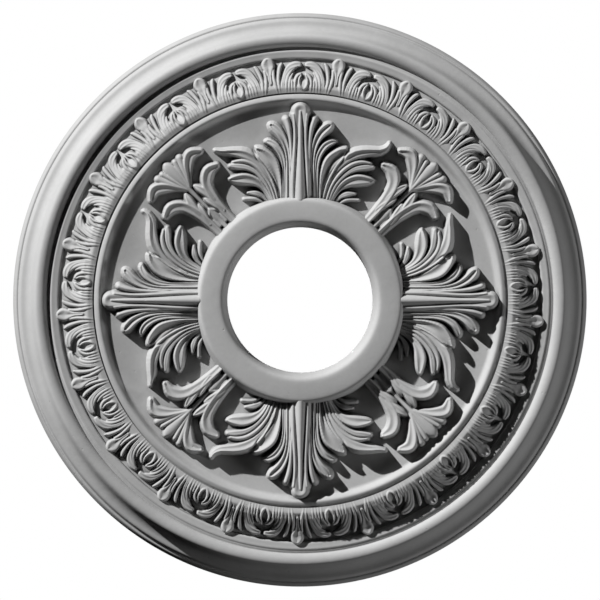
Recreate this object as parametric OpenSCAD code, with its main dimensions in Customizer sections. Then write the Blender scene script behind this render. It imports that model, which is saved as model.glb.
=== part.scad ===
// Classical ceiling rose, one casting. Millimetres.
// Z up into the ceiling: the back lies on Z = 0 and the ornament faces down (-Z).

/* [Plate] */
// overall diameter
outer_d = 390.5; // [325:0.5:470]
// how far the inner ring stands below the ceiling
projection = 38; // [31:0.5:46]
// depth of the flat field below the ceiling
field_rise = 25.5; // [21:0.5:30]

/* [Hole and ring] */
// clear hole for the light fitting
hole_d = 98.8; // [82:0.2:119]
// width of the eased front edge of the hole
hole_ease = 5; // [2:0.5:7]
// width of the raised ring from the hole to its foot
ring_w = 22.6; // [18:0.2:28]
// slope of the ring's outer wall, run of the taper
ring_taper = 2.6; // [1:0.2:5]

/* [Mouldings] */
// width of the outer ogee moulding
rim_w = 24.4; // [20:0.2:29]
// width of the leaf band
band_w = 30.4; // [25:0.2:36]
// width of the cove and bead round the field
bead_w = 9.2; // [7:0.2:12]
// height of the bead over the field
bead_rise = 4.5; // [2.5:0.1:6]
// fall of the leaf band from its crest to its scallops
band_fall = 11; // [8:0.2:13]
// depth of the groove each side of the leaf band
groove_d = 3.4; // [2:0.1:4.5]

/* [Acanthus] */
// number of acanthus leaves, with a palmette between each pair
leaf_count = 4; // [3:1:5]
// share of the ring's height that the acanthus reaches
leaf_height = 0.8; // [0.6:0.02:0.95]
// depth of the channels between its lobes
leaf_flute = 3; // [1:0.1:4]
// width of the sloping edge round each leaf
leaf_draft = 2.6; // [1.5:0.1:3.5]
// how far the side lobes turn round the rose, degrees
leaf_turn = 1.6; // [0:0.1:2.5]

/* [Palmette] */
// share of the ring's height that the palmette reaches
fan_height = 0.62; // [0.45:0.01:0.8]
// half angle between the two outer petals, degrees
fan_half = 11.5; // [9:0.5:13]
// depth of the channels between its petals
fan_flute = 1.5; // [0.8:0.1:2.4]

/* [Leaf band pattern] */
// number of leaves round the band
band_count = 21; // [16:1:24]
// height of the leaf carving over the band
band_carve = 1.8; // [1:0.1:2.4]

/* [Hidden] */
outer_r = outer_d / 2;
hole_r = hole_d / 2;
ring_r = hole_r + ring_w;
rim_r = outer_r - rim_w;
band_r = rim_r - band_w;
field_r = band_r - bead_w;
step_up = projection - field_rise;
root_z = field_rise - 2.5;
bead_z = field_rise + bead_rise;
crest_z = bead_z + 0.6;
scallop_z = crest_z - band_fall;
fillet_z = scallop_z + 2.2;
torus_z = field_rise;
torus_r = rim_r + 0.26 * rim_w;
flare_z = 0.31 * torus_z;
lip_z = 0.2 * torus_z;
band_out = rim_r - 8.5;
leaf_in = ring_r - ring_taper - 0.8;
leaf_out = field_r + 0.36 * bead_w;
band_root = scallop_z - 3;
band_low = scallop_z - 1.2;

// point on a cubic curve
function curve(a, b, c, d, t) =
  (1 - t) ^ 3 * a + 3 * t * (1 - t) ^ 2 * b + 3 * t ^ 2 * (1 - t) * c + t ^ 3 * d;

// row of points on a cubic curve, the first left out
function sweep(a, b, c, d, n) = [for (i = [1 : n]) curve(a, b, c, d, i / n)];

// point on a vein from its root, bent by a middle point
function vein(a, b, c, t) = (1 - t) ^ 2 * a + 2 * t * (1 - t) * b + t ^ 2 * c;

function mix(a, b, t) = a + (b - a) * t;

// section of the body, from the hole outwards along the front, then back along the ceiling
function ring_line() = concat(
  [[hole_r, 0], [hole_r, projection - hole_ease * 1.1]],
  sweep([hole_r, projection - hole_ease * 1.1], [hole_r + 0.1, projection - hole_ease * 0.5],
        [hole_r + hole_ease * 0.5, projection - 0.3], [hole_r + hole_ease * 1.2, projection - 0.3], 8),
  [[ring_r - ring_taper - 3.6, projection]],
  sweep([ring_r - ring_taper - 3.6, projection], [ring_r - ring_taper - 1.2, projection],
        [ring_r - ring_taper - 0.4, projection - 0.8], [ring_r - ring_taper, projection - 2.6], 6),
  [[ring_r, field_rise]]);

function bead_line() = concat(
  [[field_r, field_rise]],
  sweep([field_r, field_rise], [field_r + 0.32 * bead_w, field_rise],
        [field_r + 0.4 * bead_w, bead_z], [field_r + 0.6 * bead_w, bead_z], 8),
  sweep([field_r + 0.6 * bead_w, bead_z], [field_r + 0.85 * bead_w, bead_z],
        [band_r - 0.5, bead_z - 1], [band_r - 0.4, bead_z - groove_d], 6),
  [[band_r + 0.3, bead_z - groove_d]]);

function band_line() = concat(
  [for (f = [0, 0.3, 0.72, 1]) [mix(band_r + 1.2, band_out - 1, f), band_top(f) - 2.4]],
  [[band_out + 2.6, scallop_z - 1.2], [band_out + 3.4, fillet_z - 0.4], [band_out + 5.4, fillet_z - 0.2]],
  sweep([band_out + 5.4, fillet_z - 0.2], [band_out + 5.9, fillet_z + 1],
        [band_out + 7.4, fillet_z + 1], [rim_r - 0.5, fillet_z - 0.6], 6),
  [[rim_r - 0.2, fillet_z - groove_d], [rim_r + 0.6, fillet_z - groove_d]]);

// height of the band's leaves by share of the way out: up to a crest, then a round fall
function band_top(f) =
  f < 0.14 ? mix(crest_z - 2.4, crest_z, sin(90 * f / 0.14))
           : crest_z - (band_fall - 1.2) * (1 - cos(140 * (f - 0.14) / 0.86)) / (1 - cos(140));

function rim_line() = concat(
  sweep([rim_r + 0.6, fillet_z - groove_d], [rim_r + 0.1 * rim_w, torus_z - 1.8],
        [rim_r + 0.17 * rim_w, torus_z], [torus_r, torus_z], 8),
  sweep([torus_r, torus_z], [torus_r + 0.14 * rim_w, torus_z],
        [torus_r + 0.18 * rim_w, torus_z * 0.88], [torus_r + 0.21 * rim_w, torus_z * 0.74], 8),
  sweep([torus_r + 0.21 * rim_w, torus_z * 0.74], [torus_r + 0.25 * rim_w, torus_z * 0.6],
        [torus_r + 0.36 * rim_w, torus_z * 0.41], [torus_r + 0.53 * rim_w, flare_z], 10),
  [[torus_r + 0.56 * rim_w, lip_z], [outer_r - 0.1 * rim_w, lip_z - 0.3]],
  sweep([outer_r - 0.1 * rim_w, lip_z - 0.3], [outer_r - 0.04 * rim_w, lip_z - 0.3],
        [outer_r, lip_z - 1.2], [outer_r, lip_z * 0.4], 5),
  [[outer_r, 0]]);

module body() {
  rotate_extrude($fn = 180)
    polygon(concat(ring_line(), bead_line(), band_line(), rim_line()));
}

// Carved spray: a fan of veins, each with a root, a bend and a tip, crossed by rows.
// cuts holds how far along the vein the notch after each vein reaches, crowns the height of each vein,
// share the rows along a vein and lifts the height at its root and at each row.
module spray(roots, bends, tips, cuts, crowns, low, foot, flute, draft, stops, share, lifts) {
  gaps = len(tips) - 1;
  steps = len(stops);
  cols = gaps * steps;
  rows = len(share);
  w = cols + 1;
  gap = [for (c = [0 : cols]) min(gaps - 1, floor(c / steps))];
  part = [for (c = [0 : cols]) c == cols ? 1 : stops[c - gap[c] * steps]];
  dip = [for (c = [0 : cols]) 1 - abs(1 - 2 * part[c])];
  root = [for (c = [0 : cols]) mix(roots[gap[c]], roots[gap[c] + 1], part[c])];
  bend = [for (c = [0 : cols]) mix(bends[gap[c]], bends[gap[c] + 1], part[c])];
  tip = [for (c = [0 : cols]) mix(tips[gap[c]], tips[gap[c] + 1], part[c])];
  crown = [for (c = [0 : cols]) mix(crowns[gap[c]], crowns[gap[c] + 1], part[c])];
  reach = [for (c = [0 : cols]) mix(cuts[gap[c]], 1, sqrt(max(0, 1 - dip[c] ^ 2)))];
  span = [for (c = [0 : cols]) norm(bend[c] - root[c]) + norm(tip[c] - bend[c])];
  rim = [for (c = [0 : cols]) vein(root[c], bend[c], tip[c], reach[c])];
  top = [for (k = [0 : rows - 1]) for (c = [0 : cols])
    let (
      s = share[k] * max(reach[c] * 0.3, reach[c] - draft / span[c]),
      p = vein(root[c], bend[c], tip[c], s),
      h = crown[c] * lifts[k + 1] - flute * dip[c] ^ 2 * (0.35 + 0.65 * share[k])
    ) [p.x, p.y, low + max(0.6, h)]];
  start = [for (i = [0 : gaps]) [roots[i].x, roots[i].y, low + crowns[i] * lifts[0]]];
  all = concat(start, top);
  a = gaps + 1;
  last = a + (rows - 1) * w;
  ring = concat([for (i = [0 : gaps]) i], [for (k = [0 : rows - 1]) a + k * w + cols],
                [for (c = [cols - 1 : -1 : 0]) last + c], [for (k = [rows - 2 : -1 : 0]) a + k * w]);
  feet = concat(roots, [for (k = [0 : rows - 2]) apart(all[a + k * w + cols], all[a + k * w + cols - 1], draft / 2)],
                [for (c = [cols : -1 : 0]) rim[c]],
                [for (k = [rows - 2 : -1 : 0]) apart(all[a + k * w], all[a + k * w + 1], draft / 2)]);
  n = len(ring);
  b = len(all);
  faces = concat(
    [for (c = [0 : cols - 1]) [gap[c] + (part[c] < 0.5 ? 0 : 1), a + c, a + c + 1]],
    [for (i = [0 : gaps - 1]) [i, a + i * steps + middle(stops), i + 1]],
    [for (k = [0 : rows - 2]) for (c = [0 : cols - 1]) each split(a + k * w + c, w, tip[c].x + tip[c + 1].x < 0)],
    [for (i = [0 : n - 1]) let (j = (i + 1) % n) each [
      [ring[i], ring[j], b + j], [ring[i], b + j, b + i]]],
    [[for (i = [0 : n - 1]) b + i]]);
  polyhedron(points = concat(all, [for (f = feet) [f.x, f.y, foot]]), faces = faces, convexity = 10);
}

// two triangles of one square of the grid, split the other way on the left side
function split(p, w, left) =
  left ? [[p, p + w, p + 1], [p + 1, p + w, p + w + 1]] : [[p, p + w, p + w + 1], [p, p + w + 1, p + 1]];

// which of the stops is the bottom of the notch
function middle(stops) = [for (i = [0 : len(stops) - 1]) if (stops[i] >= 0.5) i][0];

// foot of a side edge, set out from the neighbouring vein
function apart(p, q, d) =
  let (v = [p.x - q.x, p.y - q.y]) [p.x, p.y] + v / max(0.01, norm(v)) * d;

// point of the field by angle round the rose and share of the way from the ring to the cove
function at(a, f) = let (r = mix(leaf_in, leaf_out, f)) [r * sin(a), r * cos(a)];

// veins of the right half of the acanthus from its tip round to the ring: [angle, share of the way out]
leaf_tips = [[0, 1], [4.8, 0.88], [9.9, 0.82], [12.8, 0.64], [17.2, 0.61], [29.9, 0.8], [28.6, 0.55],
             [29, 0.4], [27, 0.16], [27, 0.06]];
leaf_bends = [[0, 0.5], [3.1, 0.5], [5.4, 0.47], [6.5, 0.38], [8.6, 0.42], [14.5, 0.6], [16.4, 0.42],
              [18, 0.28], [21.5, 0.11], [23, 0.04]];
leaf_roots = [0, 2.2, 4, 5.6, 7.4, 10, 12.4, 15, 17.6, 20];
leaf_cuts = [0.72, 0.68, 0.76, 0.4, 0.76, 0.62, 0.5, 0.45, 0.5];
leaf_crowns = [1, 0.86, 0.84, 0.78, 0.86, 0.86, 0.78, 0.74, 0.5, 0.3];
leaf_slew = [0, 0, 0, 0, 0, 0, 0.5, 1, 1, 1];

module acanthus() {
  n = len(leaf_tips) - 1;
  squeeze = 4 / leaf_count;
  order = [for (i = [-n : n]) i];
  function lean(i) = squeeze * leaf_turn * leaf_slew[abs(i)];
  spray(
    roots = [for (i = order) at(sign(i) * leaf_roots[abs(i)] * squeeze, 0)],
    bends = [for (i = order) at(sign(i) * leaf_bends[abs(i)].x * squeeze + lean(i) * 0.5, leaf_bends[abs(i)].y)],
    tips = [for (i = order) at(sign(i) * leaf_tips[abs(i)].x * squeeze + lean(i), leaf_tips[abs(i)].y)],
    cuts = [for (i = [-n : n - 1]) leaf_cuts[i < 0 ? -i - 1 : i]],
    crowns = [for (i = order) leaf_crowns[abs(i)] * leaf_height * step_up],
    low = field_rise, foot = root_z, flute = leaf_flute, draft = leaf_draft,
    stops = [0, 0.38, 0.5, 0.62], share = [0.5, 0.86, 1], lifts = [0.75, 1, 0.95, 0.82]);
}

// palmette veins, right half: [share of the half angle, share of the way out]
fan_tips = [[0, 0.945], [0.23, 0.905], [0.43, 0.905], [0.74, 0.895], [1, 0.83], [0.8, 0.73]];
fan_bends = [[0, 0.75], [0.13, 0.75], [0.25, 0.75], [0.37, 0.75], [0.5, 0.72], [0.47, 0.66]];
fan_roots = [0, 0.03, 0.06, 0.09, 0.115, 0.14];
fan_cuts = [0.9, 0.9, 0.9, 0.93, 0.8];
fan_crowns = [0.9, 0.9, 0.92, 0.96, 1, 0.8];

module palmette() {
  n = len(fan_tips) - 1;
  order = [for (i = [-n : n]) i];
  half = fan_half * 4 / leaf_count;
  spray(
    roots = [for (i = order) at(sign(i) * fan_roots[abs(i)] * half, 0.575)],
    bends = [for (i = order) at(sign(i) * fan_bends[abs(i)].x * half, fan_bends[abs(i)].y)],
    tips = [for (i = order) at(sign(i) * fan_tips[abs(i)].x * half, fan_tips[abs(i)].y)],
    cuts = [for (i = [-n : n - 1]) fan_cuts[i < 0 ? -i - 1 : i]],
    crowns = [for (i = order) fan_crowns[abs(i)] * fan_height * step_up],
    low = field_rise, foot = root_z - 0.4, flute = fan_flute, draft = leaf_draft * 0.7,
    stops = [0, 0.34, 0.5, 0.66], share = [0.6, 1], lifts = [0.6, 0.9, 1]);
}

// scroll leaf beside the stem: two small lobes toward the stem, then a hooked top
scroll_tips = [[0.13, 0.325], [0.1, 0.4], [0.22, 0.565], [0.8, 0.66], [1.24, 0.62], [1, 0.53]];
scroll_bends = [[0.25, 0.235], [0.27, 0.265], [0.3, 0.36], [0.3, 0.53], [0.34, 0.56], [0.72, 0.4]];
scroll_roots = [0.29, 0.35, 0.42, 0.5, 0.58, 0.67];
scroll_cuts = [0.9, 0.82, 0.84, 0.97, 0.9];
scroll_crowns = [0.75, 0.8, 0.85, 1, 1, 0.9];

module scroll() {
  n = len(scroll_tips) - 1;
  half = fan_half * 4 / leaf_count;
  spray(
    roots = [for (i = [0 : n]) at(scroll_roots[i] * half, 0)],
    bends = [for (p = scroll_bends) at(p.x * half, p.y)],
    tips = [for (p = scroll_tips) at(p.x * half, p.y)],
    cuts = scroll_cuts, crowns = scroll_crowns * fan_height * step_up,
    low = field_rise, foot = root_z - 0.8, flute = fan_flute, draft = leaf_draft * 0.6,
    stops = [0, 0.34, 0.5, 0.66], share = [0.5, 0.85, 1], lifts = [0.75, 0.95, 1, 0.95]);
}

// stem of the palmette with the bud at its foot
module stem() {
  half = fan_half * 4 / leaf_count;
  spray(
    roots = [for (i = [-1 : 1]) at(i * 0.2 * half, 0)],
    bends = [for (i = [-1 : 1]) at(i * 0.2 * half, 0.12)],
    tips = [for (i = [-1 : 1]) at(i * 0.22 * half, i == 0 ? 0.28 : 0.19)],
    cuts = [0.96, 0.96], crowns = [0.4, 0.55, 0.4] * fan_height * step_up,
    low = field_rise, foot = root_z - 1.2, flute = 0.3, draft = 0.8, stops = [0, 0.5], share = [0.5, 1],
    lifts = [1, 1, 1]);
  spray(
    roots = [for (i = [-1 : 1]) at(i * 0.08 * half, 0.3)],
    bends = [for (i = [-1 : 1]) at(i * 0.07 * half, 0.42)],
    tips = [for (i = [-1 : 1]) at(i * 0.08 * half, 0.56)],
    cuts = [0.98, 0.98], crowns = [0.5, 0.7, 0.5] * fan_height * step_up,
    low = field_rise, foot = root_z - 1.2, flute = 0.3, draft = 0.7, stops = [0, 0.5], share = [0.5, 1],
    lifts = [1, 1, 1]);
}

// point of the leaf band by share of one repeat and share of the way out
function along(a, f) =
  let (r = mix(band_r + 1.2, band_out - 1, f), q = a * 360 / band_count) [r * sin(q), r * cos(q)];

band_share = [0.22, 0.6, 1];
spear_share = [0.48, 1];
function band_lifts(share) =
  [for (f = concat([0], share)) (band_top(f) - band_low) / (crest_z - band_low)];

// tall pointed leaf of the band
module spear() {
  tall = crest_z - band_low;
  spray(
    roots = [for (i = [-1 : 1]) along(i * 0.06, 0)],
    bends = [for (i = [-1 : 1]) along(i * 0.03, 0.5)],
    tips = [for (i = [-1 : 1]) along(i * 0.07, i == 0 ? 1.22 : 1.08)],
    cuts = [0.94, 0.94], crowns = [tall, tall + band_carve * 0.4, tall],
    low = band_low, foot = band_root, flute = 0.6, draft = 1, stops = [0, 0.5], share = spear_share,
    lifts = band_lifts(spear_share));
}

// pair of half palmettes meeting over an eye, between two tall leaves
fan_from = [0.08, 0.19, 0.29, 0.39];
fan_bend = [0.14, 0.26, 0.36, 0.43];
fan_lay = [0.03, 0.12, 0.23, 0.35];
fan_out = [0.95, 0.98, 0.96, 0.9];

module eye_fan() {
  tall = crest_z - band_low;
  order = [-4, -3, -2, -1, 1, 2, 3, 4];
  spray(
    roots = [for (i = order) along(sign(i) * fan_from[abs(i) - 1], 0)],
    bends = [for (i = order) along(sign(i) * fan_bend[abs(i) - 1], 0.55)],
    tips = [for (i = order) along(sign(i) * fan_lay[abs(i) - 1], fan_out[abs(i) - 1])],
    cuts = [0.9, 0.94, 0.95, 0.55, 0.95, 0.94, 0.9],
    crowns = [for (i = order) tall + (abs(i) < 3 ? band_carve * 0.2 : 0)],
    low = band_low, foot = band_root - 0.5, flute = band_carve, draft = 1, stops = [0, 0.5],
    share = band_share, lifts = band_lifts(band_share));
}

module ceiling_rose() {
  color("whitesmoke") rotate([180, 0, 0]) union() {
    body();
    for (i = [0 : leaf_count - 1]) rotate([0, 0, i * 360 / leaf_count]) acanthus();
    for (i = [0 : leaf_count - 1]) rotate([0, 0, (i + 0.5) * 360 / leaf_count]) {
      palmette();
      scroll();
      mirror([1, 0, 0]) scroll();
      stem();
    }
    for (i = [0 : band_count - 1]) rotate([0, 0, 7.8 + i * 360 / band_count]) spear();
    for (i = [0 : band_count - 1]) rotate([0, 0, 7.8 + (i + 0.5) * 360 / band_count]) eye_fan();
  }
}

ceiling_rose();
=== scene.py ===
import math

import bpy
import numpy as np
from mathutils import Matrix, Vector


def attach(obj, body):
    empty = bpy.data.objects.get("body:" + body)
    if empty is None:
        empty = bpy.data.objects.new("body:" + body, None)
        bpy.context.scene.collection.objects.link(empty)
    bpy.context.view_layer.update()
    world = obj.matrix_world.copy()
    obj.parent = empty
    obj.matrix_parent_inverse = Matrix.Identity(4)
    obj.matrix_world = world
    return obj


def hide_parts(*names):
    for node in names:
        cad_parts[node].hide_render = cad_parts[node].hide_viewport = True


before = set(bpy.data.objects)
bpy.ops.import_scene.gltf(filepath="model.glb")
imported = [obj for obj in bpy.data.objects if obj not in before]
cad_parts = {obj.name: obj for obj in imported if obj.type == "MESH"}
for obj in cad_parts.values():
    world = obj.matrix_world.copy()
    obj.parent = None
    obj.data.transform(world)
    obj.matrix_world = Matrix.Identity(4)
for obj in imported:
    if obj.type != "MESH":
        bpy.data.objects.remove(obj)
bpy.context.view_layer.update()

bpy.ops.object.select_all(action='DESELECT')
mm = 0.001
fieldZ = 25.5       # flat field, below the ceiling
underField = -3.0   # bare ground of a leaf's drawing, sunk out of sight
gridStep = 0.36     # cell of the carved pieces, in mm
pathSteps = 20      # points on a strand's soft curve
smoothAngle = 50    # edges sharper than this stay sharp, in degrees

# the relief is drawn in mm: x right, y up as seen from below, height towards the room


def smoothPath(points, steps):
    # soft curve through the points, with the widths and heights carried along
    p = np.array(points, float)
    last = len(p) - 1
    out = []
    for i in range(last):
        a, b, c, d = p[max(i - 1, 0)], p[i], p[i + 1], p[min(i + 2, last)]
        n = max(2, round(steps / last))
        for j in range(n):
            t = j / n
            out.append(0.5 * (2 * b + (c - a) * t + (2 * a - 5 * b + 4 * c - d) * t * t
                              + (3 * b - a - 3 * c + d) * t ** 3))
    out.append(p[-1])
    return np.array(out)


def nearPath(u, v, path):
    # signed distance to the path, with the width and the height of the nearest point
    best = np.full(u.shape, 1e9)
    width = np.zeros_like(u)
    crest = np.zeros_like(u)
    side = np.zeros_like(u)
    for a, b in zip(path[:-1], path[1:]):
        du, dv = b[0] - a[0], b[1] - a[1]
        t = np.clip(((u - a[0]) * du + (v - a[1]) * dv) / (du * du + dv * dv + 1e-12), 0, 1)
        pu = u - (a[0] + t * du)
        pv = v - (a[1] + t * dv)
        d = np.hypot(pu, pv)
        w = a[2] + t * (b[2] - a[2])
        near = d - w < best
        best[near] = (d - w)[near]
        width[near] = w[near]
        crest[near] = (a[3] + t * (b[3] - a[3]))[near]
        side[near] = (np.sign(du * pv - dv * pu) * d)[near]
    return side, np.maximum(width, 0.05), crest


def around(u, v, path, pad):
    reach = path[:, 2].max() + pad
    return ((u > path[:, 0].min() - reach) & (u < path[:, 0].max() + reach)
            & (v > path[:, 1].min() - reach) & (v < path[:, 1].max() + reach))


def raiseFinger(u, v, height, points, cap=1.0, wall=3.6, cup=0.0, rim=0.0, skirt=6):
    # one modelled strand: a rounded back, cupped or with one raised edge, and steep sides
    path = smoothPath(points, pathSteps)
    m = around(u, v, path, skirt)
    side, width, crest = nearPath(u[m], v[m], path)
    x = np.abs(side) / width
    if cup:
        z = crest - cap * np.minimum(x, 1) ** 4 - cup * (1 - np.minimum(x / 0.85, 1) ** 2) ** 1.5
    else:
        z = crest - cap * np.minimum(x, 1) ** 2
    z = z + rim * np.clip(side / width, -1, 1) - wall * np.maximum(np.abs(side) - width, 0)
    height[m] = np.maximum(height[m], z)


def cutGroove(u, v, height, points, sharp=1.0):
    # points are (across, outwards, half width, depth)
    path = smoothPath(points, pathSteps)
    m = around(u, v, path, 1)
    side, width, depth = nearPath(u[m], v[m], path)
    height[m] -= depth * np.clip(1 - np.abs(side) / width, 0, 1) ** sharp


def flip(points):
    return [(-p[0],) + tuple(p[1:]) for p in points]


def turned(points, degrees, still=8, over=12):
    # swing a strand round the middle of the rose; points within `still` degrees of the leaf's axis stay,
    # and the swing grows to its full size over the next `over` degrees
    out = []
    for p in points:
        r = math.hypot(p[0], p[1])
        a = math.degrees(math.atan2(p[0], p[1]))
        a += degrees * min(1, max(0, (abs(a) - still) / over))
        a = math.radians(a)
        out.append((r * math.sin(a), r * math.cos(a)) + tuple(p[2:]))
    return out


def soften(z, sigma):
    # round the drawn heights a little; sigma is in cells
    n = int(3 * sigma + 1)
    k = np.exp(-0.5 * (np.arange(-n, n + 1) / sigma) ** 2)
    k /= k.sum()

    def blur(row):
        return np.convolve(np.pad(row, n, mode='edge'), k, mode='valid')

    for axis in (0, 1):
        z = np.apply_along_axis(blur, axis, z)
    return z


# acanthus: each strand is (across, outwards, half width, height over the field)
acanthusLook = {
    'count': 4, 'start': 0,
    'box': (-63, 63, 63, 135),      # across from, across to, inner, outer
    'middle': [(0, 66, 2.9, 12.0), (0, 74, 2.8, 12.0), (0, 84, 2.5, 11.8), (0, 95, 2.0, 11.2),
               (0, 107, 1.5, 10.4), (0, 119, 1.2, 9.8), (0, 128, 0.7, 9.0)],
    'tip': [(0, 104, 1.6, 7.6), (0, 113, 3.0, 8.4), (0, 121, 4.3, 9.0), (0, 128.4, 4.6, 9.0)],
    'sides': [
        # strands beside the middle, running up into the tip's rim
        ([(5.0, 67, 1.5, 9.4), (4.9, 82, 1.5, 10.2), (4.2, 96, 1.3, 9.9), (3.6, 108, 1.1, 9.5), (3.8, 118, 0.9, 9.3),
          (4.6, 126, 0.8, 9.2)], dict(cap=1.3)),
        ([(5.9, 88, 0.5, 9.0), (6.1, 100, 1.0, 9.2), (6.6, 109, 1.3, 8.9),
          (7.8, 117, 1.6, 8.9), (9.5, 122.6, 1.6, 8.0)], dict(cap=1.4)),
        ([(8.1, 67, 1.4, 7.8), (8.0, 82, 1.4, 9.0), (8.3, 96, 1.3, 8.9), (10.0, 105.6, 1.9, 9.0),
          (13.6, 112.6, 2.6, 9.3), (17.8, 116.8, 2.6, 8.8), (19.8, 118.4, 1.6, 7.8)], dict(cap=1.2, cup=1.9)),
        ([(10.9, 67, 1.1, 6.6), (10.9, 80, 1.2, 8.0), (11.1, 90, 1.3, 8.4), (12.6, 98.0, 1.8, 8.6),
          (16.4, 104.2, 2.1, 8.8), (20.6, 107.0, 1.8, 8.0), (23.2, 107.6, 0.8, 7.2)], dict(cap=1.3, cup=1.3)),
        # broad blade under the slit
        ([(13.8, 67, 1.0, 5.8), (14.6, 77, 1.7, 6.8), (16.8, 86, 3.1, 8.2), (20.6, 93.6, 4.4, 9.2),
          (26.0, 98.6, 3.8, 9.2), (29.6, 101.6, 1.5, 8.6)], dict(cap=1.0, cup=1.8, rim=1.2)),
        ([(18.3, 77, 0.7, 6.4), (20.6, 84, 0.8, 7.0), (24.4, 90.2, 0.8, 7.6), (29.0, 95.2, 0.7, 8.4)],
         dict(cap=1.0)),
        # lobes below
        ([(17.0, 67, 0.7, 5.6), (20.8, 78, 0.9, 6.9), (26.8, 86.6, 1.2, 8.0), (33.8, 92.2, 1.4, 8.5),
          (40.5, 94.0, 1.3, 8.3), (46.4, 93.2, 0.7, 7.4)], dict(cap=1.1)),
        ([(18.6, 67, 0.7, 5.4), (22.8, 77, 0.9, 6.8), (29.2, 84.8, 1.2, 7.6), (36.2, 89.2, 1.6, 8.1),
          (43, 90.4, 1.8, 8.0), (48.0, 90.6, 1.1, 7.3)], dict(cap=1.2, cup=0.5)),
        ([(20.2, 66.5, 0.9, 5.0), (25.2, 75.2, 1.6, 6.2), (31.0, 80.0, 2.7, 7.4), (38, 81.8, 3.5, 8.0),
          (44.6, 81.6, 2.4, 7.6), (48.2, 81.4, 0.8, 6.8)], dict(cap=1.2, cup=1.3, rim=0.8)),
        ([(22.2, 66, 0.8, 3.6), (26.4, 70.3, 1.3, 4.6), (31, 72.2, 1.6, 5.4), (36.0, 72.6, 0.7, 4.8)],
         dict(cap=1.1, cup=0.5)),
        ([(24.5, 65, 0.8, 2.6), (31, 68.3, 1.4, 4.2), (38.5, 68.2, 1.2, 3.8)], dict(cap=1.0)),
    ],
    # the long top strand: right side ends in an upturned curl, left side runs out straight
    'long': [(15.6, 67, 0.8, 5.6), (18.6, 78, 1.1, 7.0), (23.8, 87.4, 1.6, 8.2), (30.4, 94.6, 2.5, 9.2),
             (38, 98.8, 2.9, 9.8), (46, 100.2, 2.4, 9.5), (54, 100.6, 1.7, 9.0), (58.6, 102.8, 1.1, 8.6),
             (60.6, 105.8, 0.5, 7.8)],
    'longLeft': [(-15.6, 67, 0.8, 5.6), (-18.6, 78, 1.1, 7.0), (-23.8, 87.4, 1.6, 8.2), (-30.2, 94.6, 2.5, 9.2),
                 (-37.6, 98.6, 2.9, 9.6), (-45, 100.0, 2.1, 9.0), (-52, 100.4, 1.2, 8.4), (-57.4, 101.2, 0.4, 7.6)],
    # grooves between the blade and the long strand
    'slits': [[(20.0, 82.0, 0.6, 0.6), (24.6, 90.0, 0.8, 1.0), (29.6, 96.0, 0.9, 1.6), (32.6, 103.4, 1.2, 2.2)]],
    'swing': 0.6,       # degrees
}


def acanthusHeight(u, v):
    look = acanthusLook
    z = np.full(u.shape, underField)
    for points, kind in look['sides']:
        raiseFinger(u, v, z, turned(points, look['swing']), **kind)
        raiseFinger(u, v, z, turned(flip(points), look['swing']), **dict(kind, rim=-kind.get('rim', 0)))
    raiseFinger(u, v, z, look['long'], cap=1.2, cup=1.1, rim=0.9)
    raiseFinger(u, v, z, look['longLeft'], cap=1.2, cup=1.0, rim=-0.9)
    for points in look['slits']:
        cutGroove(u, v, z, points)
        cutGroove(u, v, z, flip(points))
    raiseFinger(u, v, z, look['tip'], cap=0.9, cup=1.2)
    raiseFinger(u, v, z, look['middle'], cap=1.8, wall=1.8)
    return z


# palmette on its stem between two scroll leaves, drawn as the acanthus is
palmetteLook = {
    'count': 4, 'start': 45,
    'box': (-30, 30, 63, 133),
    'sides': [
        # rays of the fan
        ([(0, 104, 1.2, 5.0), (0, 110, 1.4, 6.0), (0, 118, 3.0, 6.6), (0, 125, 3.4, 6.6), (0, 128.6, 1.6, 6.0)],
         dict(cap=1.2)),
        ([(0.6, 106, 0.8, 5.0), (2.2, 112, 0.9, 5.8), (4.2, 120, 1.3, 6.4), (5.9, 126.2, 1.3, 6.2)], dict(cap=0.9)),
        ([(0.9, 106, 0.8, 5.0), (3.6, 112, 1.0, 5.8), (7.0, 119, 1.6, 6.4), (10.2, 126.0, 1.8, 6.4)], dict(cap=0.9)),
        ([(1.2, 106, 0.8, 5.0), (6, 112.5, 1.6, 6.0), (11.2, 118.5, 3.0, 7.0), (17, 122.0, 3.4, 7.4),
          (23, 119.2, 1.6, 6.8)], dict(cap=1.2, cup=1.2, rim=0.9)),
        # scroll leaf and the lobes inside it
        ([(6.4, 66, 2.2, 5.0), (6.6, 78, 2.4, 5.8), (7.8, 90, 2.9, 6.6), (11.2, 100.4, 3.3, 7.2),
          (17.6, 105.4, 3.5, 7.6), (24.2, 104.4, 1.8, 7.2)], dict(cap=1.2, cup=1.0, rim=0.9)),
        ([(6.6, 90, 1.5, 6.4), (6.2, 96.5, 2.3, 7.3), (5.2, 101.6, 2.0, 7.4), (4.2, 105.4, 0.8, 6.6)],
         dict(cap=1.2, cup=0.9)),
        ([(6.4, 80, 1.4, 5.8), (5.2, 86, 2.0, 6.6), (4.0, 90.8, 1.7, 6.8), (3.0, 94.2, 0.7, 6.0)],
         dict(cap=1.2, cup=0.7)),
        # bud and the low web at its foot
        ([(0, 87, 0.9, 5.2), (2.6, 84.2, 0.9, 4.8), (4.4, 81.6, 0.6, 4.0)], dict(cap=0.6)),
        ([(3.0, 74.5, 1.5, 3.4), (3.0, 79, 1.6, 3.6), (2.8, 83, 1.2, 3.4)], dict(cap=0.4)),
    ],
    'stem': [[(0, 66, 1.6, 4.0), (0, 76, 1.6, 4.2), (0, 82, 2.2, 4.8), (0, 86.5, 1.0, 5.2)],
             [(0, 86, 0.9, 3.6), (0, 95, 1.2, 4.0), (0, 104, 1.4, 5.0), (0, 108, 1.6, 5.6)]],
}


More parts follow.
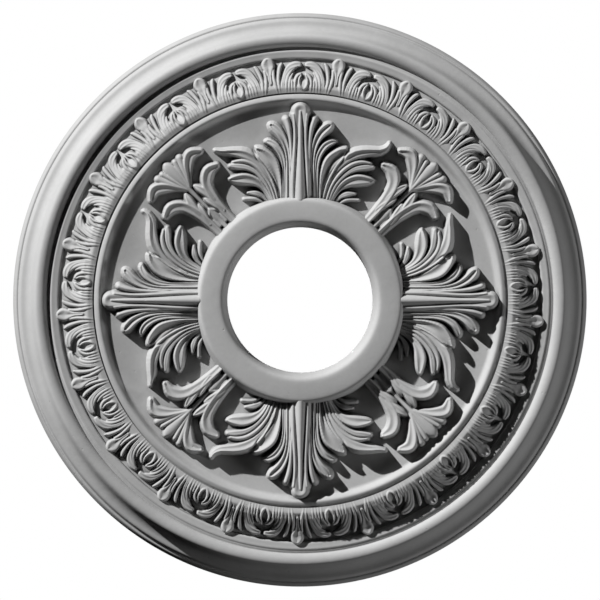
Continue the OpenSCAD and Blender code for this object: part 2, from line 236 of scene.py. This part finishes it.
def palmetteHeight(u, v):
    look = palmetteLook
    z = np.full(u.shape, underField)
    for points, kind in look['sides']:
        raiseFinger(u, v, z, points, **kind)
        raiseFinger(u, v, z, flip(points), **dict(kind, rim=-kind.get('rim', 0)))
    for points in look['stem']:
        raiseFinger(u, v, z, points, cap=0.6)
    return z


# leaf band: each strand is (arc from the tall leaf, radius, half width, height over the crest line)
bandLook = {
    'count': 21, 'runs': 3, 'start': 12.1, 'arcRadius': 152.0, 'inner': 140.8, 'outer': 167.6,
    'ground': -4.5,     # bare ground, under the crest line
    'soften': 0.55, 'sunk': 1.5, 'floor': 15.5,
    # crest line, (radius, height under the ceiling)
    'crest': [(140.6, 29.45), (141.6, 29.7), (142.6, 29.95), (143.4, 30.2), (144.2, 30.35), (145.4, 30.25),
              (148.2, 29.4), (152, 26.9), (156, 24.3), (158.4, 23.1), (160, 22.3), (161.3, 22.0), (168, 21.6)],
    'tall': [(0, 148, 0.9, 0.3), (0, 153, 1.1, 0.5), (0, 157, 2.3, 0.9), (0, 160.0, 3.7, 1.4), (0, 162.0, 3.3, 1.4),
             (0, 163.6, 2.0, 1.2), (0, 164.6, 0.8, 0.8)],
    # smooth margin beside the bead, (radius, height over the crest line)
    'margin': [(140, -0.15), (142.4, -0.2), (144.4, -0.45), (147, -1.3), (149.5, -2.6), (152, -4.5)],
    'foot': [(0, 140, 3.6, -1.2), (0, 144, 2.2, -1.1), (0, 148, 0.9, -0.7)],
    'tallSides': [(4.4, 141, 1.2, 0.0), (3.2, 147, 1.1, 0.2), (2.6, 152, 1.0, 0.3), (3.0, 156.6, 0.9, 0.5)],
    'strands': [
        ([(6.3, 141, 1.1, 0.0), (5.6, 148, 1.1, 0.0), (6.0, 153, 1.3, 0.1), (7.2, 158, 1.6, 0.4),
          (8.6, 160.6, 0.6, 0.5)], dict(cap=1.2)),
        ([(8.5, 141, 1.0, 0.0), (8.8, 148, 1.1, 0.0), (10.4, 153.8, 1.3, 0.2), (13.6, 158.0, 1.7, 0.7),
          (17.6, 159.7, 1.8, 1.0), (21.0, 159.8, 1.1, 0.8)], dict(cap=0.9, cup=0.6)),
        ([(10.7, 141, 1.1, 0.0), (11.0, 147, 1.1, 0.0), (12.3, 152, 1.1, 0.0), (14.9, 156.0, 1.1, 0.0),
          (17.6, 157.8, 0.8, 0.1)], dict(cap=0.8)),
        ([(12.9, 141, 1.0, 0.0), (13.1, 146.5, 1.0, 0.0), (14.0, 150.6, 0.9, -0.2), (15.8, 153.8, 0.5, -0.6)],
         dict(cap=0.8)),
        ([(15.1, 141, 0.9, 0.0), (15.0, 145, 0.9, 0.0), (15.1, 148.4, 0.7, 0.0), (15.4, 150.4, 0.3, -0.4)],
         dict(cap=1.0)),
        ([(17.3, 141, 0.9, 0.0), (17.0, 146, 0.9, 0.2), (17.5, 149.8, 1.0, 0.4), (19.1, 152.4, 0.9, 0.5),
          (21.0, 153.5, 0.5, 0.4)], dict(cap=1.1)),
        ([(22.7, 142.6, 1.0, 0.2), (20.9, 144.2, 0.9, 0.5), (19.9, 147.2, 0.6, 0.6), (20.1, 150.2, 0.5, 0.6),
          (21.3, 152.6, 0.4, 0.4)], dict(cap=0.6)),
    ],
    'slits': [
        [(4.2, 151, 0.5, 0.4), (4.7, 156, 0.8, 2.0), (5.6, 160, 1.0, 3.0), (6.0, 163, 1.3, 3.2)],
        [(6.9, 148, 0.6, 0.6), (8.2, 153, 1.0, 2.8), (10.0, 158.4, 1.2, 3.6), (11.4, 162, 1.5, 3.6)],
        [(15.4, 149.4, 0.5, 1.0), (16.6, 152.8, 0.9, 2.4), (19.0, 155.4, 1.5, 3.2), (22.4, 156.4, 1.7, 3.2)],
        [(22.74, 155.6, 1.0, 2.2), (22.74, 159, 1.5, 3.4), (22.74, 163, 1.7, 3.4)],
        [(22.74, 146, 1.4, 2.4), (22.74, 149, 2.0, 3.6), (22.74, 152.6, 1.0, 2.0)],
    ],
}


def bandHeight(arc, r):
    # arc runs from one eye to the next with the tall leaf at nought
    look = bandLook
    z = np.full(arc.shape, look['ground'])
    for points, kind in look['strands']:
        raiseFinger(arc, r, z, points, **kind)
        raiseFinger(arc, r, z, flip(points), **kind)
    raiseFinger(arc, r, z, look['tallSides'], cap=1.0)
    raiseFinger(arc, r, z, flip(look['tallSides']), cap=1.0)
    raiseFinger(arc, r, z, look['foot'], cap=0.3)
    raiseFinger(arc, r, z, look['tall'], cap=1.0, cup=0.9)
    for points in look['slits']:
        cutGroove(arc, r, z, points, 0.7)
        cutGroove(arc, r, z, flip(points), 0.7)
    # the leaves grow out of the margin
    margin = np.array(look['margin'])
    z = np.maximum(z, np.interp(r, margin[:, 0], margin[:, 1]))
    line = np.array(look['crest'])
    return z + np.interp(r, line[:, 0], line[:, 1])


# turned body, (radius, height) from the hole outwards and down to the ceiling again
plateLook = {
    'turns': 420,
    'line': [
        # bore and eased edge of the hole
        (49.4, 0), (49.4, 22), (50.2, 28), (50.8, 31.6), (51.4, 34.1), (52.0, 35.7), (52.8, 36.9),
        (53.6, 37.5), (54.4, 37.82), (55.4, 37.97),
        # ring
        (57, 38), (60, 37.95), (62, 37.88), (64, 37.76), (66, 37.58), (67.2, 37.4), (68.0, 37.05),
        (68.7, 36.4), (69.2, 35.5), (69.6, 34.2),
        # field
        (72, 25.5), (131.2, 25.5),
        # bead
        (132.4, 25.75), (133.1, 26.25), (133.8, 27.0), (134.5, 28.0), (135.2, 28.95), (136.0, 29.7),
        (136.8, 30.0), (137.4, 29.92), (138.0, 29.72), (138.8, 29.4), (139.5, 29.05), (139.9, 28.6),
        (140.3, 28.25),
        # under the leaf band
        (141.0, 28.2), (143.6, 27.4), (149, 25.0), (152.4, 23.0), (156.5, 20.6), (160, 19.0), (162.2, 18.7),
        (163.4, 18.7),
        # strip and fine groove beside it
        (164.0, 19.9), (164.5, 20.35), (165.1, 20.5), (165.8, 20.55), (166.8, 20.6), (167.8, 20.7),
        (168.4, 20.8), (169.1, 20.75), (169.5, 20.5), (169.8, 20.2), (170.2, 20.1), (171.0, 20.1),
        (171.3, 19.85), (171.9, 19.85),
        # torus and ogee
        (172.2, 20.6), (172.6, 21.4), (173.2, 22.1), (174, 22.75), (175.3, 23.4), (176.7, 23.65),
        (177.8, 23.6), (178.6, 23.4), (179.3, 23.05), (179.9, 22.5), (180.5, 21.6), (181.1, 20.2),
        (181.7, 18.2), (182.3, 16.0), (182.9, 14.2), (183.6, 12.7), (184.3, 11.7), (185.1, 10.85),
        (186, 10.15), (187, 9.6),
        # flare, step and lip
        (188.2, 9.25), (189.2, 9.0), (190.0, 8.6), (190.4, 8.0), (190.8, 6.9), (191.2, 5.7), (191.6, 4.9),
        (191.9, 4.8), (192.4, 5.0), (192.9, 4.95), (193.4, 4.5), (193.9, 3.7), (194.4, 2.6), (194.8, 1.6),
        (195.1, 0.8), (195.25, 0),
    ],
}


def toRoom(x, y, z):
    # the rose hangs face down: the drawing is turned half round about X
    return np.stack([x, -y, -z], axis=-1) * mm


def finishPiece(obj, name, material):
    obj.name = name
    obj.data.name = name
    bpy.ops.object.select_all(action='DESELECT')
    obj.select_set(True)
    bpy.context.view_layer.objects.active = obj
    bpy.ops.object.mode_set(mode='EDIT')
    bpy.ops.mesh.select_all(action='SELECT')
    bpy.ops.mesh.normals_make_consistent(inside=False)
    bpy.ops.object.mode_set(mode='OBJECT')
    bpy.ops.object.shade_smooth_by_angle(angle=math.radians(smoothAngle))
    obj.data.materials.clear()
    obj.data.materials.append(material)
    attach(obj, "root")
    obj.select_set(False)
    print(name, len(obj.data.polygons), "faces")
    return obj


def turnPlate(material):
    line = plateLook['line']
    mesh = bpy.data.meshes.new("plate")
    joins = [(i, i + 1) for i in range(len(line) - 1)]
    mesh.from_pydata([(r * mm, 0, -z * mm) for r, z in line], joins, [])
    obj = bpy.data.objects.new("plate", mesh)
    bpy.context.scene.collection.objects.link(obj)
    bpy.context.view_layer.objects.active = obj
    obj.select_set(True)
    bpy.ops.object.mode_set(mode='EDIT')
    bpy.ops.mesh.select_all(action='SELECT')
    bpy.ops.mesh.spin(steps=plateLook['turns'], angle=2 * math.pi, center=(0, 0, 0), axis=(0, 0, 1))
    bpy.ops.mesh.select_all(action='SELECT')
    bpy.ops.mesh.remove_doubles(threshold=0.01 * mm)
    # the back: join the hole's edge to the rim's edge with a flat ring of faces
    bpy.ops.mesh.select_all(action='DESELECT')
    bpy.ops.mesh.select_non_manifold()
    bpy.ops.mesh.bridge_edge_loops()
    bpy.ops.object.mode_set(mode='OBJECT')
    return finishPiece(obj, "plate", material)


def reliefPiece(name, columns, rows, place, height, keep, floor, material):
    # a fine grid pressed to the drawn heights; points outside keep are cut off, and the sheet is closed at floor
    bpy.ops.mesh.primitive_grid_add(x_subdivisions=columns - 1, y_subdivisions=rows - 1, size=1)
    obj = bpy.context.object
    mesh = obj.data
    cells = np.empty(len(mesh.vertices) * 3)
    mesh.vertices.foreach_get('co', cells)
    cells = cells.reshape(-1, 3)
    col = np.rint((cells[:, 0] + 0.5) * (columns - 1)).astype(int)
    row = np.rint((cells[:, 1] + 0.5) * (rows - 1)).astype(int)
    x, y = place
    pressed = toRoom(x[row, col], y[row, col], height[row, col])
    mesh.vertices.foreach_set('co', pressed.astype(np.float32).ravel())
    mesh.polygons.foreach_set('select', np.zeros(len(mesh.polygons), bool))
    mesh.edges.foreach_set('select', np.zeros(len(mesh.edges), bool))
    mesh.vertices.foreach_set('select', ~keep[row, col])
    mesh.update()
    bpy.ops.object.mode_set(mode='EDIT')
    bpy.ops.mesh.select_mode(type='VERT')
    bpy.ops.mesh.delete(type='VERT')
    # drop loose corners, then carry the edge straight down and fill it
    bpy.ops.mesh.select_all(action='SELECT')
    bpy.ops.mesh.delete_loose(use_verts=True, use_edges=True, use_faces=False)
    bpy.ops.mesh.select_all(action='DESELECT')
    bpy.ops.mesh.select_non_manifold()
    bpy.ops.mesh.extrude_edges_move(TRANSFORM_OT_translate={"value": (0, 0, 0)})
    bpy.ops.object.mode_set(mode='OBJECT')
    for point in mesh.vertices:
        if point.select:
            point.co.z = -floor * mm
    bpy.ops.object.mode_set(mode='EDIT')
    bpy.ops.mesh.fill(use_beauty=False)
    bpy.ops.object.mode_set(mode='OBJECT')
    finishPiece(obj, name, material)


def plateHeight(r):
    # height of the turned body at a radius; a tiny slope keeps its upright steps in order
    line = np.array(plateLook['line'][1:-1])
    return np.interp(r, line[:, 0] + np.arange(len(line)) * 1e-6, line[:, 1], left=-5, right=-5)


# grey primed casting: scales are per metre, distances in metres
castingLook = {
    'tones': ((0.48, 0.48, 0.478, 1), (0.54, 0.54, 0.538, 1)), 'toneScale': 28,
    'grain': 0.93, 'grainScale': 420, 'grainShare': 0.6,
    'pitScale': 170, 'pitShare': 0.75, 'pitTone': (0.5, 0.5, 0.49, 1), 'patchScale': 90,
    # painted shade in the hollows: how far the occlusion reaches, its darkest tone, and where its ramp starts and
    # ends
    'paintedShadeReach': 0.012, 'paintedShadeTone': 0.05, 'paintedShadeFrom': 0.18, 'paintedShadeTo': 0.58,
    'roughness': (0.62, 0.78), 'roughScale': 150, 'specular': 0.25,
    # bumps: (strength, distance)
    'waves': (0.35, 0.0004), 'waveScale': 160,
    'spray': (0.25, 0.00012), 'sprayScale': 1600,
    'pits': (0.5, 0.0004),
}


def castingMaterial():
    look = castingLook
    mat = bpy.data.materials.new("primed_casting")
    mat.use_nodes = True
    nodes = mat.node_tree.nodes
    links = mat.node_tree.links
    nodes.clear()
    out = nodes.new('ShaderNodeOutputMaterial')
    skin = nodes.new('ShaderNodeBsdfPrincipled')
    links.new(skin.outputs[0], out.inputs[0])
    place = nodes.new('ShaderNodeTexCoord')

    def noise(scale, detail):
        n = nodes.new('ShaderNodeTexNoise')
        n.inputs['Scale'].default_value = scale
        n.inputs['Detail'].default_value = detail
        n.inputs['Roughness'].default_value = 0.55
        links.new(place.outputs['Object'], n.inputs['Vector'])
        return n.outputs['Fac']

    def grey(value):
        return (value, value, value, 1)

    def ramp(source, low, lowColour, high, highColour):
        r = nodes.new('ShaderNodeValToRGB')
        ends = r.color_ramp.elements
        ends[0].position, ends[0].color = low, lowColour
        ends[1].position, ends[1].color = high, highColour
        links.new(source, r.inputs[0])
        return r.outputs[0]

    def blend(kind, share, under, over):
        # each of the three is a value or another node's socket
        m = nodes.new('ShaderNodeMix')
        m.data_type = 'RGBA'
        m.blend_type = kind
        for socket, value in ((0, share), (6, under), (7, over)):
            if isinstance(value, bpy.types.NodeSocket):
                links.new(value, m.inputs[socket])
            else:
                m.inputs[socket].default_value = value
        return m.outputs[2]

    def times(a, b):
        m = nodes.new('ShaderNodeMath')
        m.operation = 'MULTIPLY'
        links.new(a, m.inputs[0])
        if isinstance(b, bpy.types.NodeSocket):
            links.new(b, m.inputs[1])
        else:
            m.inputs[1].default_value = b
        return m.outputs[0]

    def bump(source, size, under=None):
        b = nodes.new('ShaderNodeBump')
        b.inputs['Strength'].default_value, b.inputs['Distance'].default_value = size
        links.new(source, b.inputs['Height'])
        if under:
            links.new(under.outputs[0], b.inputs['Normal'])
        return b

    # primer laid a little unevenly
    tone = ramp(noise(look['toneScale'], 4), 0.3, look['tones'][0], 0.72, look['tones'][1])
    grain = ramp(noise(look['grainScale'], 3), 0.3, grey(look['grain']), 0.7, grey(1))
    primer = blend('MULTIPLY', look['grainShare'], tone, grain)
    # pinholes and specks left by the mould, in patches
    pits = nodes.new('ShaderNodeTexVoronoi')
    pits.inputs['Scale'].default_value = look['pitScale']
    links.new(place.outputs['Object'], pits.inputs['Vector'])
    pit = ramp(pits.outputs['Distance'], 0.05, grey(1), 0.13, grey(0))
    patch = ramp(noise(look['patchScale'], 2), 0.55, grey(0), 0.62, grey(1))
    pitted = times(pit, patch)
    specked = blend('MIX', times(pitted, look['pitShare']), primer, look['pitTone'])
    # painted shade: the colour is darkened in the tightest hollows by ambient occlusion, to paint in the carving's
    # depth of shade
    paintedShadeAO = nodes.new('ShaderNodeAmbientOcclusion')
    paintedShadeAO.samples = 8
    paintedShadeAO.inputs['Distance'].default_value = look['paintedShadeReach']
    # depth here is the painted shade, a colour factor from the occlusion
    depth = ramp(paintedShadeAO.outputs['AO'], look['paintedShadeFrom'], grey(look['paintedShadeTone']), look['paintedShadeTo'], grey(1))
    links.new(blend('MULTIPLY', 1, specked, depth), skin.inputs['Base Color'])
    dullness = ramp(noise(look['roughScale'], 3), 0.3, grey(look['roughness'][0]), 0.7, grey(look['roughness'][1]))
    links.new(dullness, skin.inputs['Roughness'])
    skin.inputs['Specular IOR Level'].default_value = look['specular']
    # sprayed grain over soft unevenness, with the pits pressed in
    waves = bump(noise(look['waveScale'], 4), look['waves'])
    spray = bump(noise(look['sprayScale'], 2), look['spray'], waves)
    pressed = bump(pitted, look['pits'], spray)
    pressed.invert = True
    links.new(pressed.outputs[0], skin.inputs['Normal'])
    return mat


casting = castingMaterial()
print("plate")
plate = turnPlate(casting)
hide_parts("ceiling_rose")

# how the leaves and palmettes meet the ring and the field
seatLook = {
    'soften': 0.7,          # in cells
    'sunk': 1.2,            # a point this far under the plate is still kept
    'ringEdge': 68, 'rootTop': 36.0,        # inside the ring's edge the roots stay under its face
    'rootInner': 64.5, 'rootOuter': 66, 'rootHigh': 35,     # strip under the ring where only high roots go on
    'outer': 139,
    'lowest': 2.5, 'floor': 4,              # depths under the field: of the sheet, and of its closed foot
}


def leafPiece(name, angle, box, draw, material):
    # angle is counter-clockwise as seen from below
    seat = seatLook
    u = np.arange(box[0], box[1] + gridStep, gridStep)
    v = np.arange(box[2], box[3] + gridStep, gridStep)
    uu, vv = np.meshgrid(u, v)
    a = math.radians(angle)
    x = vv * math.cos(a) + uu * math.sin(a)
    y = vv * math.sin(a) - uu * math.cos(a)
    r = np.hypot(uu, vv)
    z = soften(fieldZ + draw(uu, vv), seat['soften'])
    z = np.where(r < seat['ringEdge'], np.minimum(z, seat['rootTop']), z)
    carved = (r > seat['rootOuter']) & (z > plateHeight(r) - seat['sunk'])
    root = (r > seat['rootInner']) & (r <= seat['rootOuter']) & (z > seat['rootHigh'])
    keep = (carved | root) & (r < seat['outer'])
    z = np.maximum(z, fieldZ - seat['lowest'])
    # a point stays when it or a neighbour is kept
    wide = keep.copy()
    for down in (-1, 0, 1):
        for along in (-1, 0, 1):
            wide |= np.roll(np.roll(keep, down, 0), along, 1)
    reliefPiece(name, len(u), len(v), (x, y), z, wide, fieldZ - seat['floor'], material)


def leafRound(name, look, draw, material):
    for i in range(look['count']):
        leafPiece("%s_%d" % (name, i + 1), look['start'] + 360 / look['count'] * i, look['box'], draw, material)


print("acanthus")
leafRound("acanthus", acanthusLook, acanthusHeight, casting)
print("palmettes")
leafRound("palmette", palmetteLook, palmetteHeight, casting)


def bandPiece(name, first, count, material):
    # a run of leaves, from leaf number first
    look = bandLook
    unit = 2 * math.pi / look['count']
    columns = round(look['arcRadius'] * unit / gridStep)
    th = (np.arange(columns * count + 1) / columns - 0.5) * unit
    r = np.arange(look['inner'], look['outer'] + 1, gridStep)
    tt, rr = np.meshgrid(th, r)
    local = (tt + unit / 2) % unit - unit / 2
    z = soften(bandHeight(local * look['arcRadius'], rr), look['soften'])
    z = np.maximum(z, plateHeight(rr) - look['sunk'])
    angle = math.radians(look['start']) + (first * unit) + tt
    x = rr * np.cos(angle)
    y = rr * np.sin(angle)
    reliefPiece(name, len(th), len(r), (x, y), z, np.ones(z.shape, bool), look['floor'], material)


print("leaf band")
leavesInRun = bandLook['count'] // bandLook['runs']
for i in range(bandLook['runs']):
    bandPiece("leaf_band_%d" % (i + 1), i * leavesInRun, leavesInRun, casting)

print("stage")
# pale floor far below, and white behind the rose for the camera only
stageLook = {
    'floorSize': 10, 'floorDrop': 7, 'floorTone': (0.9, 0.9, 0.9, 1), 'floorRoughness': 0.9,
    'soft': 0.004, 'white': 1,
    # suns: azimuth and elevation as seen from below, strength, spread
    'key': (135, 21.8, 5.05, 1.2), 'fill': (-22, 12, 0.84, 12),
    # spot over the back, for views from above; on the axis, so it doesn't reach the wall of the hole
    'topHeight': 3.2, 'topPower': 290, 'topRadius': 0.15, 'topSpread': 9.5, 'topBlend': 0.3,
}

bpy.ops.mesh.primitive_plane_add(size=stageLook['floorSize'], location=(0, 0, -stageLook['floorDrop']))
floor = bpy.context.object
floor.name = "floor"
floorMat = bpy.data.materials.new("floor")
floorMat.use_nodes = True
floorSkin = floorMat.node_tree.nodes['Principled BSDF']
floorSkin.inputs['Base Color'].default_value = stageLook['floorTone']
floorSkin.inputs['Roughness'].default_value = stageLook['floorRoughness']
floor.data.materials.append(floorMat)

world = bpy.data.worlds.new("studio")
bpy.context.scene.world = world
world.use_nodes = True
worldNodes = world.node_tree.nodes
worldLinks = world.node_tree.links
worldNodes.clear()


def skyOf(strength):
    sky = worldNodes.new('ShaderNodeBackground')
    sky.inputs['Color'].default_value = (1, 1, 1, 1)
    sky.inputs['Strength'].default_value = strength
    return sky.outputs[0]


worldOut = worldNodes.new('ShaderNodeOutputWorld')
worldMix = worldNodes.new('ShaderNodeMixShader')
worldPath = worldNodes.new('ShaderNodeLightPath')
worldLinks.new(worldPath.outputs['Is Camera Ray'], worldMix.inputs[0])
worldLinks.new(skyOf(stageLook['soft']), worldMix.inputs[1])
worldLinks.new(skyOf(stageLook['white']), worldMix.inputs[2])
worldLinks.new(worldMix.outputs[0], worldOut.inputs[0])


def sunFrom(name, azimuth, elevation, strength, spread):
    # elevation is towards the viewer below
    a, e = math.radians(azimuth), math.radians(elevation)
    toLight = Vector((math.cos(a) * math.cos(e), -math.sin(a) * math.cos(e), -math.sin(e)))
    bpy.ops.object.light_add(type='SUN', location=toLight * 2)
    lamp = bpy.context.object
    lamp.name = name
    lamp.data.energy = strength
    lamp.data.angle = math.radians(spread)
    lamp.rotation_euler = toLight.to_track_quat('Z', 'Y').to_euler()


sunFrom("key", *stageLook['key'])
sunFrom("fill", *stageLook['fill'])
bpy.ops.object.light_add(type='SPOT', location=(0, 0, stageLook['topHeight']))
top = bpy.context.object
top.name = "top"
top.data.energy = stageLook['topPower']
top.data.shadow_soft_size = stageLook['topRadius']
top.data.spot_size = math.radians(stageLook['topSpread'])
top.data.spot_blend = stageLook['topBlend']

# camera below the rose, looking up from a touch off the axis; width is what the view takes in, in metres
cameraLook = {'distance': 6.0, 'width': 0.4083, 'aside': -0.05, 'targetDrop': 0.003, 'sensor': 36}
eye = Vector((cameraLook['aside'], cameraLook['aside'], -cameraLook['distance']))
target = Vector((0, 0, -cameraLook['targetDrop']))
back = (eye - target).normalized()
right = Vector((0, -1, 0)).cross(back).normalized()
up = back.cross(right)
bpy.ops.object.camera_add(location=eye)
cam = bpy.context.object
cam.rotation_euler = Matrix((right, up, back)).transposed().to_euler()
cam.data.sensor_width = cameraLook['sensor']
cam.data.lens = cameraLook['sensor'] * (eye - target).length / cameraLook['width']
cam.data.clip_end = 100
bpy.context.scene.camera = cam
bpy.context.scene.view_settings.view_transform = 'Standard'
